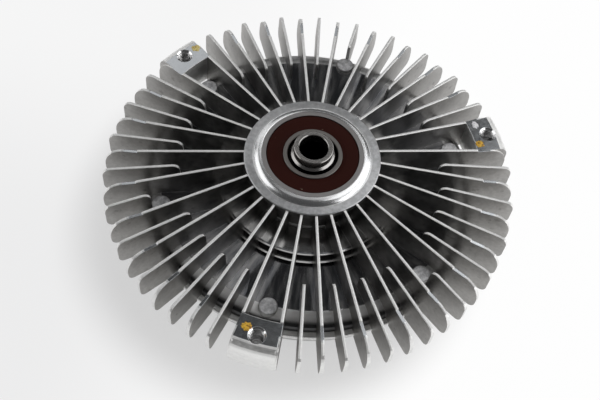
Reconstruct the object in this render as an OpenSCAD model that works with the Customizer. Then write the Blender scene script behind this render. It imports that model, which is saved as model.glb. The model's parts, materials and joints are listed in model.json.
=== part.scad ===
// Viscous fan clutch lying on its front cover, bearing side up.
// Millimetres. The clutch axis is Z and the resting plane is z = 0.

/* [Fins and fan pads] */
// Radius over the fin tips
tip_r = 104; // [101:0.5:110]
// Number of long fins, a multiple of six
fin_count = 30; // [24:6:36]
// Thickness of a long fin at the hub ring's height
fin_t = 1.2; // [1:0.1:2.4]
// Thickness of a short fin at the hub ring's height
short_fin_t = 1.1; // [0.9:0.1:2.2]
// Casting draft on each side of a fin, in degrees
fin_draft = 1; // [0.5:0.1:1.5]
// Fall of the long fins' top edge for each millimetre outwards
fin_slope = 0.146; // [0.12:0.002:0.17]
// Diameter of the bolt circle that carries the fan
fan_pcd = 191.4; // [188:0.2:194]
// Radius of the tapped holes for the fan bolts
fan_tap_r = 3.4; // [2.5:0.1:4.2]

/* [Drum] */
// Outer radius of the drum wall
drum_r = 83; // [80:0.5:86]
// Width of the joint flange beyond the drum wall
flange_w = 2.7; // [1.5:0.1:4]
// Radius of the raised inner part of the drum floor
step_r = 47; // [44:0.5:52]
// Height of that raised part
step_h = 6; // [4:0.2:8]
// Rise of the floor from the step to the shoulder
floor_rise = 2.4; // [1:0.1:4]
// Height of the flat hub ring above the inner floor
hub_h = 16; // [14.8:0.2:20]
// Wall thickness of the rear casting
wall_t = 3.2; // [2.6:0.1:4.5]

/* [Front cover] */
// Height of the front fins
front_fin_h = 8; // [7:0.5:12]
// Wall thickness of the cover
cover_wall = 3.5; // [3.2:0.1:5]
// Depth of the fluid reservoir
reservoir_h = 6.5; // [6:0.1:9]
// Thickness of the divider plate
plate_t = 1.2; // [0.8:0.1:1.8]

/* [Bearing] */
// Outside diameter of the bearing
bearing_od = 52; // [47:1:55]
// Bore diameter of the bearing
bearing_id = 25; // [22:1:28]
// Width of the bearing
bearing_w = 15; // [14:0.5:16.2]
// Number of balls
ball_count = 9; // [7:1:9]

/* [Shaft and rotor] */
// Radius of the bore through the shaft
shaft_bore_r = 7.2; // [5.5:0.1:7.6]
// Radius of the locating spigot
spigot_r = 9.7; // [8.8:0.1:10.2]
// Height of the spigot above the bearing face
spigot_h = 5.4; // [4.5:0.1:12]
// Thickness of the rotor web
web_t = 3; // [2.4:0.1:4]
// Height of the ring lands on the rotor
land_h = 4.2; // [3:0.1:5]
// Number of ring lands on the rotor
land_count = 5; // [3:1:5]

/* [Thermostat valve] */
// Distance of the control pin from the axis
pin_y = 34; // [32:0.5:36]
// Radius of the control pin
pin_r = 1.5; // [1.1:0.1:1.8]
// Length of the bimetal strip
strip_l = 44; // [38:1:46]
// Width of the bimetal strip
strip_w = 10; // [7:0.5:11]
// Thickness of the bimetal strip
strip_t = 0.8; // [0.5:0.1:1.1]
// Thickness of the valve leaf
leaf_t = 0.45; // [0.3:0.05:0.7]
// Radius of the port that the leaf closes
port_r = 3; // [2:0.2:3.6]

/* [Hidden] */
$fn = 96;

press_gap = 0.01;
touch_gap = 0.05;
run_gap = 0.6;
aluminium = [0.72, 0.72, 0.71];
steel = [0.62, 0.63, 0.65];
rubber = [0.12, 0.1, 0.09];

// Heights, from the resting plane up
z_face = front_fin_h;
z_res = z_face + cover_wall;
z_plate = z_res + reservoir_h;
z_plate_top = z_plate + plate_t;
z_rotor = z_plate_top + 1.6;
z_joint = z_plate + 8.9;
z_web = z_rotor + web_t;
z_ceiling = z_web + land_h + 0.8;
z_floor_low = z_ceiling + wall_t;
z_floor_edge = z_floor_low + floor_rise;
z_floor_in = z_floor_low + step_h;
z_ring = z_floor_in + hub_h;
z_bearing_top = z_ring + 2.2;
z_bearing = z_bearing_top - bearing_w;
z_ceiling_in = z_floor_in - 4;
z_flange = z_joint + 1.3;
z_fin_foot = z_joint - 0.9;
z_spigot = z_bearing_top + spigot_h;
z_pad = z_ring - 9.5;
z_pad_foot = z_fin_foot + 0.5;
z_boss = z_ring - 17.8;
z_head = z_face - 0.8;
screw_top = z_joint + 6.5;

// Radii, from the tips inwards
land_in_r = tip_r - 16.7;
pad_in_r = fan_pcd / 2 - 8.4;
pad_out_r = fan_pcd / 2 + 8.3;
flange_r = drum_r + flange_w;
cover_r = drum_r - 2;
screw_r = drum_r - 6.7;
chamber_r = screw_r - 9.8;
groove_in_r = chamber_r + 2.2;
groove_out_r = groove_in_r + 2.4;
reservoir_r = chamber_r - 8.5;
rotor_r = chamber_r - 1;
shoulder_r = drum_r - 8.2;
front_fin_in = 50;
collar_r = bearing_od / 2 + 3.7;
ring_r = collar_r + 4.3;
hub_r = ring_r - 3;
lip_r = bearing_od / 2 - 0.6;

// Rolled collar: radius of its outer face and the angles of that face's normal at crest and foot
collar_bow = 5.3;
collar_crest = 75;
collar_foot = 32;

// Angles
pitch = 360 / fin_count;
pad_at = 30;

// Bearing section
pitch_r = (bearing_od + bearing_id) / 4;
ball_r = 0.147 * (bearing_od - bearing_id);
race_r = ball_r + 0.08;
z_ball = z_bearing + bearing_w / 2;
outer_land_r = pitch_r + 0.76 * ball_r;
inner_land_r = pitch_r - 0.76 * ball_r;
seal_out_r = bearing_od / 2 - 2.9;
seal_in_r = bearing_id / 2 + 2.2;

// Shaft section
journal_r = bearing_id / 2;
collar_small_r = journal_r + 2;
collar_big_r = journal_r + 4.5;
throat_r = collar_big_r + 2.5;
rotor_seat_r = journal_r + 2.5;
front_journal_r = rotor_seat_r - 1.5;
spigot_foot_r = spigot_r + 1.1;
z_recess = z_bearing_top - 3;
z_collar = z_ceiling_in - 1.5;
z_shaft = z_face - 1;
seal_bore_r = front_journal_r + 6.5;
post_r = seal_bore_r + 4;
opening_r = front_journal_r + 1.5;
z_seal = z_face + 2.2;
seal_h = z_plate - z_seal - 1.4;
seal_flange = 0.6 * (seal_bore_r - front_journal_r);

// Rotor lands
land_pitch = (rotor_r - step_r) / (land_count + 0.2);
land_w = land_pitch / 2 - run_gap;
land_start = step_r + 1;

// Thermostat valve
strip_top = z_face - 3.05;
pin_head_z = strip_top + touch_gap;
leaf_top = z_plate - touch_gap;
pin_top = leaf_top - leaf_t - touch_gap;
hinge_x = -23;
leaf_w = 2 * port_r + 2;
guide_top = z_res + 2.8;

// Points along part of an ellipse
function arc(cx, cy, a, b, from, to, steps) =
    [for (i = [0:steps]) let (t = from + (to - from) * i / steps) [cx + a * cos(t), cy + b * sin(t)]];

// Height of the long fins' top edge at a radius
function fin_top(r) = z_ring - 1 - fin_slope * (r - ring_r);

// Upright blade drawn as radius against height, centred on the given angle.
// It has the given thickness at z_thin and gains the draft on both sides towards z_thick.
module blade(angle, thickness, z_thin, z_thick) {
    thin = thickness / 2;
    thick = thin + abs(z_thick - z_thin) * tan(fin_draft);
    rotate([0, 0, angle])
        intersection() {
            rotate([90, 0, 0])
                translate([0, 0, -thick - 1])
                    linear_extrude(2 * thick + 2)
                        children();
            rotate([90, 0, 90])
                linear_extrude(tip_r + 1)
                    polygon([[-thick, z_thick],
                        [thick, z_thick],
                        [thin, z_thin],
                        [-thin, z_thin]]);
        }
}

// Copies at the six screw positions
module at_screws() {
    for (i = [0:5])
        rotate([0, 0, pad_at + 60 * i])
            translate([screw_r, 0, 0])
                children();
}

// Lower edge of a rear fin from its outer end to the casting
function fin_foot() = concat(
    arc(tip_r - 3, z_fin_foot + 4, 3, 4, 0, -90, 5),
    [[flange_r + 0.5, z_fin_foot],
     [flange_r + 0.5, z_joint + 0.55],
     [drum_r - 4, z_joint + 0.55]]);

// Long fin from the hub to the tip, with the machined land near its end
module long_fin_outline() {
    polygon(concat(
        [[hub_r - 1, z_floor_in - 2],
         [hub_r - 1, fin_top(hub_r - 1)],
         [land_in_r - 0.2, fin_top(land_in_r - 0.2)],
         [land_in_r + 0.2, z_pad]],
        arc(tip_r - 10, z_pad - 11.5, 10, 11.5, 90, 0, 9),
        fin_foot(),
        [[drum_r - 4, z_ceiling + 1.4],
         [step_r - 1.5, z_ceiling + 1.4],
         [step_r - 1.5, z_floor_in - 2]]));
}

// Short fin between two long ones
module short_fin_outline(inner_r) {
    top = z_ring - 8;
    polygon(concat(
        [[inner_r - 0.6, z_ceiling + 1.4]],
        arc(inner_r + 3.6, top - 3.6, 3.6, 3.4, 180, 90, 5),
        arc(tip_r - 5, top - 8.2, 5, 5, 84, 0, 5),
        fin_foot(),
        [[drum_r - 4, z_ceiling + 1.4]]));
}

// Fan pad filling the space between two long fins
module fan_pad(angle) {
    rotate([0, 0, angle - pitch / 2])
        rotate_extrude(angle = pitch)
            polygon(concat(
                [[pad_in_r, z_pad_foot],
                 [pad_in_r, z_pad]],
                arc(pad_out_r - 4.6, z_pad - 6, 4.6, 6, 90, 0, 6),
                [[pad_out_r, z_pad_foot + 1],
                 [pad_out_r - 1, z_pad_foot]]));
}

// Tapped hole through a fan pad, with a chamfered mouth
module fan_hole(angle) {
    rotate([0, 0, angle])
        translate([fan_pcd / 2, 0, 0]) {
            translate([0, 0, z_fin_foot - 1])
                cylinder(r = fan_tap_r, h = 40);
            translate([0, 0, z_pad - 0.9])
                cylinder(r1 = fan_tap_r, r2 = fan_tap_r + 1, h = 1);
        }
}

// Turned shape of the rear casting: hub, stepped floor, drum wall, flange and ring lands
module drum_section() {
    polygon(concat(
        [[bearing_od / 2, z_bearing],
         [bearing_od / 2, z_bearing_top],
         [lip_r, z_bearing_top],
         [lip_r, z_bearing_top + 0.2],
         [lip_r + 0.3, z_bearing_top + 0.35]],
        arc(collar_r - collar_bow * cos(collar_foot) - 0.1, z_ring + 0.1 - collar_bow * sin(collar_foot),
            collar_bow, collar_bow, collar_crest, collar_foot, 6),
        [[collar_r, z_ring],
         [ring_r - 0.4, z_ring],
         [ring_r, z_ring - 0.4],
         [ring_r, z_ring - 3.2],
         [hub_r, z_ring - 4.4]],
        arc(hub_r + 2, z_floor_in + 2, 2, 2, 180, 270, 3),
        arc(step_r - 1.2, z_floor_in - 1.2, 1.2, 1.2, 90, 0, 3),
        arc(step_r + 1, z_floor_low + 1, 1, 1, 180, 270, 3),
        arc(shoulder_r, z_flange + 0.4, 8.2, z_floor_edge - z_flange - 0.4, 90, 0, 7),
        [[drum_r, z_flange],
         [flange_r - 0.5, z_flange],
         [flange_r, z_flange - 0.5],
         [flange_r, z_joint + 0.12],
         [flange_r - 0.12, z_joint],
         [chamber_r, z_joint],
         [chamber_r, z_ceiling]],
        [for (i = [land_count - 1:-1:0], p = [0:3])
            [land_start + (i + 0.5) * land_pitch + (p < 2 ? land_w : 0),
             p == 1 || p == 2 ? z_web + run_gap : z_ceiling]],
        [[step_r - 4, z_ceiling],
         [step_r - 4, z_ceiling_in],
         [throat_r, z_ceiling_in],
         [throat_r, z_bearing]]));
}

module rear_housing() {
    color(aluminium)
        difference() {
            union() {
                rotate_extrude()
                    drum_section();
                for (i = [0:fin_count - 1])
                    blade(pad_at + (i + 0.5) * pitch, fin_t, z_ring, z_fin_foot - 1)
                        long_fin_outline();
                for (i = [0:fin_count - 1])
                    if (i % (fin_count / 3) != 0)
                        blade(pad_at + i * pitch, short_fin_t, z_ring, z_fin_foot - 1)
                            short_fin_outline(i % (fin_count / 6) == 0 ? screw_r + 4.8 : screw_r - 10.8);
                for (i = [0:2])
                    fan_pad(pad_at + 120 * i);
                at_screws() {
                    translate([0, 0, z_ceiling + 1])
                        cylinder(r = 4.6, h = z_boss - 0.4 - z_ceiling - 1);
                    translate([0, 0, z_boss - 0.4])
                        cylinder(r1 = 4.6, r2 = 4.2, h = 0.4);
                }
            }
            for (i = [0:2])
                fan_hole(pad_at + 120 * i);
            at_screws()
                translate([0, 0, z_joint - 1])
                    cylinder(r = 2.5 + touch_gap, h = screw_top + 1.6 - z_joint);
        }
}

// Front fin, standing on the resting plane
module front_fin_outline() {
    polygon(concat(
        [[front_fin_in, z_face + 1.5],
         [front_fin_in, 4]],
        arc(front_fin_in + 3, 3, 3, 3, 180, 270, 4),
        arc(cover_r - 14, z_face + 8, 13.4, z_face + 8, 270, 360, 8),
        [[cover_r - 3, z_face + 8],
         [cover_r - 9, z_face + 1.5]]));
}

module front_cover() {
    color(aluminium)
        difference() {
            union() {
                rotate_extrude()
                    polygon(concat(
                        [[opening_r, z_face - 2],
                         [post_r - 0.6, z_face - 2],
                         [post_r, z_face - 1.4],
                         [post_r, z_face]],
                        arc(cover_r - 8.2, z_face + 6, 8.2, 6, 270, 360, 6),
                        [[cover_r, z_joint - 5],
                         [flange_r - 0.3, z_joint - 1.5],
                         [flange_r, z_joint - 1.2],
                         [flange_r, z_joint - 0.12],
                         [flange_r - 0.12, z_joint],
                         [groove_out_r, z_joint],
                         [groove_out_r, z_joint - 2.2],
                         [groove_in_r, z_joint - 2.2],
                         [groove_in_r, z_joint],
                         [chamber_r, z_joint],
                         [chamber_r, z_plate],
                         [reservoir_r, z_plate],
                         [reservoir_r, z_res],
                         [post_r, z_res],
                         [post_r, z_plate],
                         [seal_bore_r, z_plate],
                         [seal_bore_r, z_seal],
                         [opening_r, z_seal]]));
                for (i = [0:fin_count - 1])
                    blade(pad_at + (i + 0.5) * pitch, fin_t, -1, z_joint)
                        front_fin_outline();
                translate([0, pin_y, z_res - 1])
                    cylinder(r = pin_r + 3, h = guide_top - z_res + 1);
            }
            at_screws() {
                translate([0, 0, z_head - 1])
                    cylinder(r = 4.5, h = 6);
                cylinder(r = 2.75, h = z_joint + 1);
            }
            for (i = [0:2])
                rotate([0, 0, pad_at + 120 * i])
                    translate([reservoir_r + 4, 0, z_plate - 6])
                        cylinder(r = 1.5 + touch_gap, h = 7);
            for (s = [-1, 1])
                translate([s * (strip_l / 2 + 5.5), pin_y, z_face - 1])
                    cylinder(r = 1.2 + press_gap, h = 3.5);
            translate([0, pin_y, z_face - 1])
                cylinder(r = pin_r + touch_gap, h = cover_wall + 8);
            translate([0, pin_y, z_face + 1.6])
                cylinder(r = pin_r + 1.8 + press_gap, h = 1.9);
        }
}

// Sealing ring between the housing and the cover
module cover_seal() {
    color(rubber)
        rotate_extrude()
            translate([(groove_in_r + groove_out_r) / 2, z_joint - 1.1])
                circle(r = 1.1, $fn = 32);
}

// Socket screw with its head down and its shank up
module cover_screws() {
    color(steel)
        at_screws()
            difference() {
                union() {
                    translate([0, 0, z_head])
                        cylinder(r1 = 3.85, r2 = 4.25, h = 0.4);
                    translate([0, 0, z_head + 0.4])
                        cylinder(r = 4.25, h = 4.6);
                    translate([0, 0, z_head + 5])
                        cylinder(r = 2.5, h = screw_top - z_head - 5);
                }
                translate([0, 0, z_head - 1])
                    cylinder(r = 2.31, h = 3.6, $fn = 6);
            }
}

module bearing_outer_ring() {
    outer = bearing_od / 2 - press_gap;
    color(steel)
        rotate_extrude()
            difference() {
                polygon([[outer - 0.6, z_bearing],
                    [outer, z_bearing + 0.6],
                    [outer, z_bearing_top - 0.6],
                    [outer - 0.6, z_bearing_top],
                    [seal_out_r, z_bearing_top],
                    [seal_out_r, z_bearing_top - 1.4],
                    [outer_land_r, z_bearing_top - 1.4],
                    [outer_land_r, z_bearing + 1.4],
                    [seal_out_r, z_bearing + 1.4],
                    [seal_out_r, z_bearing]]);
                translate([pitch_r, z_ball])
                    circle(r = race_r, $fn = 48);
            }
}

module bearing_inner_ring() {
    inner = bearing_id / 2 + press_gap;
    color(steel)
        rotate_extrude()
            difference() {
                polygon([[inner, z_bearing + 0.6],
                    [inner + 0.6, z_bearing],
                    [seal_in_r, z_bearing],
                    [seal_in_r, z_bearing + 1.4],
                    [inner_land_r, z_bearing + 2.2],
                    [inner_land_r, z_bearing_top - 2.2],
                    [seal_in_r, z_bearing_top - 1.4],
                    [seal_in_r, z_bearing_top - 0.2],
                    [seal_in_r - 0.2, z_bearing_top],
                    [inner + 0.3, z_bearing_top],
                    [inner, z_bearing_top - 0.3]]);
                translate([pitch_r, z_ball])
                    circle(r = race_r, $fn = 48);
            }
}

module bearing_balls() {
    color([0.75, 0.76, 0.78])
        for (i = [0:ball_count - 1])
            rotate([0, 0, i * 360 / ball_count])
                translate([pitch_r, 0, z_ball])
                    sphere(r = ball_r);
}

// Ring with one round pocket for each ball
module bearing_cage() {
    color([0.2, 0.2, 0.2])
        difference() {
            translate([0, 0, z_ball - ball_r - 1])
                cylinder(r = pitch_r + 0.9, h = 2 * ball_r + 2);
            translate([0, 0, z_ball - ball_r - 2])
                cylinder(r = pitch_r - 0.9, h = 2 * ball_r + 4);
            for (i = [0:ball_count - 1])
                rotate([0, 0, i * 360 / ball_count])
                    translate([pitch_r, 0, z_ball])
                        sphere(r = ball_r + 0.15);
        }
}

// Ring seal with a shallow groove near its inner edge, at the given height
module bearing_seal(z, side) {
    translate([0, 0, z])
        rotate_extrude()
            polygon([[seal_in_r + 0.15, 0],
                [seal_in_r + 0.15, 0.7 * side],
                [seal_in_r + 2.2, side],
                [seal_out_r - 0.5, side],
                [seal_out_r - press_gap, 0.5 * side],
                [seal_out_r - press_gap, 0]]);
}

module bearing_seal_rear() {
    color([0.24, 0.09, 0.06])
        bearing_seal(z_bearing_top - 1.3, 1);
}

module bearing_seal_front() {
    color([0.24, 0.09, 0.06])
        bearing_seal(z_bearing + 1.3, -1);
}

// Hollow shaft with the spigot, the bearing seat, the rotor seat and the bolt head's counterbore
module input_shaft() {
    z_groove = z_rotor - 1.2;
    color(steel)
        rotate_extrude()
            polygon([[shaft_bore_r, z_spigot - 0.3],
                [shaft_bore_r + 0.3, z_spigot],
                [spigot_r - 0.3, z_spigot],
                [spigot_r, z_spigot - 0.3],
                [spigot_r, z_bearing_top + 1.1],
                [spigot_foot_r, z_bearing_top + 0.1],
                [spigot_foot_r, z_recess],
                [journal_r - 0.5, z_recess],
                [journal_r, z_recess - 0.5],
                [journal_r, z_bearing],
                [collar_small_r, z_bearing],
                [collar_small_r, z_bearing - 1.5],
                [collar_big_r, z_bearing - 1.5],
                [collar_big_r, z_collar],
                [rotor_seat_r, z_collar],
                [rotor_seat_r, z_rotor],
                [rotor_seat_r - 2, z_rotor],
                [rotor_seat_r - 2, z_groove],
                [rotor_seat_r - 0.4, z_groove],
                [rotor_seat_r - 0.4, z_groove - 1],
                [front_journal_r, z_groove - 1.6],
                [front_journal_r, z_shaft + 0.5],
                [front_journal_r - 0.5, z_shaft],
                [shaft_bore_r + 2.4, z_shaft],
                [shaft_bore_r + 2.4, z_shaft + 9],
                [shaft_bore_r, z_shaft + 9]]);
}

// Disc with ring lands that interleave with those of the housing
module rotor() {
    bore = rotor_seat_r + press_gap;
    hub = rotor_seat_r + 9;
    color([0.66, 0.66, 0.65])
        rotate_extrude()
            polygon(concat(
                [[bore, z_rotor],
                 [bore, z_collar],
                 [hub - 0.6, z_collar],
                 [hub, z_collar - 0.6],
                 [hub, z_web + 2],
                 [hub + 2, z_web],
                 [land_start - run_gap / 2, z_web]],
                [for (i = [0:land_count - 1], p = [0:3])
                    [land_start + i * land_pitch + (p < 2 ? 0 : land_w),
                     p == 1 || p == 2 ? z_web + land_h : z_web]],
                [[rotor_r, z_web],
                 [rotor_r, z_rotor]]));
}

// Open ring in the shaft groove below the rotor
module rotor_snap_ring() {
    color(steel)
        translate([0, 0, z_rotor - 1.2])
            difference() {
                cylinder(r = rotor_seat_r + 1.5, h = 1.2 - press_gap);
                translate([0, 0, -1])
                    cylinder(r = rotor_seat_r - 2 + press_gap, h = 4);
                translate([0, -1.5, -1])
                    cube([rotor_seat_r + 4, 3, 4]);
            }
}

// Plate between the reservoir and the rotor chamber, with the valve port and the return hole
module divider_plate() {
    color([0.7, 0.68, 0.6])
        difference() {
            translate([0, 0, z_plate])
                cylinder(r = chamber_r - 0.1, h = plate_t);
            translate([0, 0, z_plate - 1]) {
                cylinder(r = rotor_seat_r + 1, h = 6);
                translate([14, pin_y, 0])
                    cylinder(r = port_r, h = 6);
                translate([8, 4 - reservoir_r, 0])
                    cylinder(r = 1.8, h = 6);
                for (i = [0:2])
                    rotate([0, 0, pad_at + 120 * i])
                        translate([reservoir_r + 4, 0, 0])
                            cylinder(r = 1.7, h = 6);
                for (s = [-1, 1]) {
                    translate([hinge_x + 3, pin_y + s * 0.3 * leaf_w, 0])
                        cylinder(r = 1 + press_gap, h = 6);
                    translate([s * 3, 4 - reservoir_r, 0])
                        cylinder(r = 0.9 + press_gap, h = 6);
                }
            }
        }
}

module plate_screws() {
    color(steel)
        for (i = [0:2])
            rotate([0, 0, pad_at + 120 * i])
                translate([reservoir_r + 4, 0, 0]) {
                    translate([0, 0, z_plate - 5.5])
                        cylinder(r = 1.5, h = 6);
                    translate([0, 0, z_plate])
                        cylinder(r = 1.5, h = plate_t + 0.2);
                    translate([0, 0, z_plate_top])
                        cylinder(r = 2.7, h = 0.8);
                }
}

// Block that scoops fluid from the rim of the rotor back to the return hole
module wiper_block() {
    color([0.55, 0.5, 0.4])
        difference() {
            translate([-6, 1 - reservoir_r, z_plate_top])
                cube([12, 6, 1.2]);
            for (s = [-1, 1])
                translate([s * 3, 4 - reservoir_r, z_plate_top - 1])
                    cylinder(r = 0.9 + press_gap, h = 4);
        }
}

module wiper_rivets() {
    color(steel)
        for (s = [-1, 1])
            translate([s * 3, 4 - reservoir_r, z_plate]) {
                translate([0, 0, -0.7])
                    cylinder(r = 1.6, h = 0.7);
                translate([0, 0, -0.2])
                    cylinder(r = 0.9, h = plate_t + 1.4);
            }
}

// Spring leaf over the port, riveted near one end and pressed shut by the control pin
module valve_leaf() {
    color([0.68, 0.69, 0.7])
        translate([0, pin_y, leaf_top - leaf_t])
            difference() {
                union() {
                    translate([hinge_x, -leaf_w / 2, 0])
                        cube([14 - hinge_x, leaf_w, leaf_t]);
                    translate([14, 0, 0])
                        cylinder(r = leaf_w / 2, h = leaf_t);
                }
                for (s = [-1, 1])
                    translate([hinge_x + 3, s * 0.3 * leaf_w, -1])
                        cylinder(r = 1.25, h = 3);
            }
}

module leaf_rivets() {
    color(steel)
        for (s = [-1, 1])
            translate([hinge_x + 3, pin_y + s * 0.3 * leaf_w, 0]) {
                translate([0, 0, leaf_top - leaf_t - 1.15])
                    cylinder(r = 1.7, h = 0.8);
                translate([0, 0, leaf_top - leaf_t - 0.5])
                    cylinder(r = 1, h = plate_t + leaf_t + 0.8);
                translate([0, 0, z_plate_top])
                    cylinder(r = 1.6, h = 0.6);
            }
}

// Pin from the bimetal strip through the cover to the leaf
module control_pin() {
    color(steel)
        translate([0, pin_y, 0]) {
            translate([0, 0, pin_head_z])
                cylinder(r = pin_r + 1, h = 1);
            translate([0, 0, pin_head_z + 0.8])
                cylinder(r = pin_r, h = pin_top - 1 - pin_head_z - 0.8);
            translate([0, 0, pin_top - 1])
                cylinder(r1 = pin_r, r2 = 0.5, h = 1);
        }
}

module pin_seal() {
    color(rubber)
        translate([0, pin_y, z_face + 2.55])
            rotate_extrude()
                translate([pin_r + touch_gap + 0.88, 0])
                    circle(r = 0.86, $fn = 32);
}

module bimetal_strip() {
    color([0.72, 0.6, 0.42])
        translate([-strip_l / 2, pin_y - strip_w / 2, strip_top - strip_t])
            cube([strip_l, strip_w, strip_t]);
}

// Pressed holders that grip the two ends of the strip
module strip_brackets() {
    wall = strip_l / 2 + 0.6;
    color(steel)
        for (s = [0, 1])
            mirror([s, 0, 0])
                translate([0, pin_y, 0])
                    rotate([90, 0, 0])
                        translate([0, 0, -strip_w / 2 - 0.5])
                            difference() {
                                linear_extrude(strip_w + 1)
                                    polygon([[wall, z_face],
                                        [wall + 8.4, z_face],
                                        [wall + 8.4, z_face - 1.2],
                                        [wall + 1.2, z_face - 1.2],
                                        [wall + 1.2, strip_top - strip_t - 1.15],
                                        [wall - 3.6, strip_top - strip_t - 1.15],
                                        [wall - 3.6, strip_top - strip_t - touch_gap],
                                        [wall, strip_top - strip_t - touch_gap],
                                        [wall, strip_top + touch_gap],
                                        [wall - 3.6, strip_top + touch_gap],
                                        [wall - 3.6, strip_top + 1.15],
                                        [wall, strip_top + 1.15]]);
                                translate([wall + 4.9, z_face + 1, strip_w / 2 + 0.5])
                                    rotate([90, 0, 0])
                                        cylinder(r = 1.2 + press_gap, h = 4);
                            }
}

module bracket_rivets() {
    color(steel)
        for (s = [-1, 1])
            translate([s * (strip_l / 2 + 5.5), pin_y, 0]) {
                translate([0, 0, z_face - 2.2])
                    cylinder(r = 2.3, h = 1);
                translate([0, 0, z_face - 1.6])
                    cylinder(r = 1.2, h = 4);
            }
}

// Pressed case of the lip seal around the front end of the shaft
module front_seal_case() {
    outer = seal_bore_r - press_gap;
    color(steel)
        rotate_extrude()
            polygon([[outer, z_seal],
                [outer, z_seal + seal_h],
                [outer - 1, z_seal + seal_h],
                [outer - 1, z_seal + 1],
                [outer - seal_flange, z_seal + 1],
                [outer - seal_flange, z_seal]]);
}

module front_seal_lip() {
    outer = seal_bore_r - press_gap;
    color(rubber)
        rotate_extrude()
            polygon([[outer - 1, z_seal + 1],
                [outer - 1, z_seal + seal_h / 2],
                [outer - seal_flange, z_seal + seal_h / 2],
                [front_journal_r + 0.8, z_seal + seal_h - 0.2],
                [front_journal_r + touch_gap, z_seal + seal_h - 1.2],
                [front_journal_r + 1.1, z_seal + seal_h / 2 - 0.2],
                [front_journal_r + 1.1, z_seal],
                [outer - seal_flange, z_seal],
                [outer - seal_flange, z_seal + 1]]);
}

rear_housing();
front_cover();
cover_seal();
cover_screws();
bearing_outer_ring();
bearing_inner_ring();
bearing_balls();
bearing_cage();
bearing_seal_rear();
bearing_seal_front();
input_shaft();
rotor();
rotor_snap_ring();
divider_plate();
plate_screws();
wiper_block();
wiper_rivets();
valve_leaf();
leaf_rivets();
control_pin();
pin_seal();
bimetal_strip();
strip_brackets();
bracket_rivets();
front_seal_case();
front_seal_lip();
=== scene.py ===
# %% [markdown]
# # A viscous fan clutch, bearing side up
#
# The clutch lies on its front cover. A light-alloy casting with long and short cooling fins turns on a sealed ball
# bearing around a hollow steel shaft. The solids come from the part's own CAD model, so this lesson only dresses
# them: finishes, a bimetal strip in two halves, tapped threads, paint dabs, light and camera.

# %% Load the solids
import json
import math
import random

import bmesh
import bpy
from mathutils import Matrix, Vector


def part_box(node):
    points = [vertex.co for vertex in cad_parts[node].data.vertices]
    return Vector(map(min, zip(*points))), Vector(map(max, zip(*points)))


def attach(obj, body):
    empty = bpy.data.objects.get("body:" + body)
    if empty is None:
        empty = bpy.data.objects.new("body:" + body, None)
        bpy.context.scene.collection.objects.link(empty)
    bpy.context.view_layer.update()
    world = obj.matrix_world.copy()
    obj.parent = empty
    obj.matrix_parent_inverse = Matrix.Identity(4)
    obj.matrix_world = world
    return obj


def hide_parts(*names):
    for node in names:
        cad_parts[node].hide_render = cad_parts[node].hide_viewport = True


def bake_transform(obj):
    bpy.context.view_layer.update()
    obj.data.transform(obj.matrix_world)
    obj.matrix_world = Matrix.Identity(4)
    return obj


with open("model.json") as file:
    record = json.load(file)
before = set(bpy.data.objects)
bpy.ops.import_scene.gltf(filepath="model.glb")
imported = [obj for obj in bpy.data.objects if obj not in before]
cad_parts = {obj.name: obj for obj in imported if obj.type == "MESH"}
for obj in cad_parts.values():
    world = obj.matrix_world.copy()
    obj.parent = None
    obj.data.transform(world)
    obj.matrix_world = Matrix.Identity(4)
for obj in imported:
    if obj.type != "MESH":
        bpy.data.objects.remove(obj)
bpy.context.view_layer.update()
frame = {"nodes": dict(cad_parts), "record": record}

scene = bpy.context.scene
nodes = frame["nodes"]
MM = 0.001

# %% [markdown]
# ## Sizes that the finishes need
#
# The finishes change from one machined face to the next, so they have to know where those faces are. The heights
# and radii below, in metres, follow from the boxes of the solids and from the mounts in the record. A face that has
# neither is given by its distance from one that has.

# %% Heights and radii
mounts = {mount["name"]: mount for mount in frame["record"]["mounts"]}
fan_bolts = mounts["fan_bolts"]["dims"]
fan_circle_r = fan_bolts["pcd_mm"] * MM / 2
fan_tap_r = fan_bolts["hole_r_mm"] * MM
pad_z = mounts["fan_pad_face"]["pos_m"][2]
tip_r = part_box("rear_housing")[1][0]
land_in_r = tip_r - 16.7 * MM
bearing_r, _, bearing_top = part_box("bearing_outer_ring")[1]

# The turned ring around the hub and the collar inside it
ring_z = bearing_top - 2.2 * MM
collar_r = bearing_r + 3.7 * MM
ring_r = collar_r + 4.3 * MM

# The drum below the fins, with a step in its floor and round bosses near its edge
drum_r = 83 * MM
boss_z = ring_z - 17.8 * MM
step_r = 47 * MM
step_top_z = ring_z - 16.9 * MM
step_foot_z = ring_z - 21.2 * MM

PADS = {"right": math.radians(30), "left": math.radians(150), "near": math.radians(270)}
FIN_STEP = math.radians(6)
print("ring plane", round(ring_z, 4), "pad plane", round(pad_z, 4), "tip radius", round(tip_r, 4))

# %% [markdown]
# ## Writing node graphs as Python
#
# A material is a graph of nodes, and wiring one by hand takes many lines. A small class wraps an output socket, so
# that `a * b + 1` adds Math nodes. Every other node comes from one method, `Graph.node`, which takes the node's
# type, its settings and the values or links of its sockets. Geometry Nodes use the same method further down.

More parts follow.
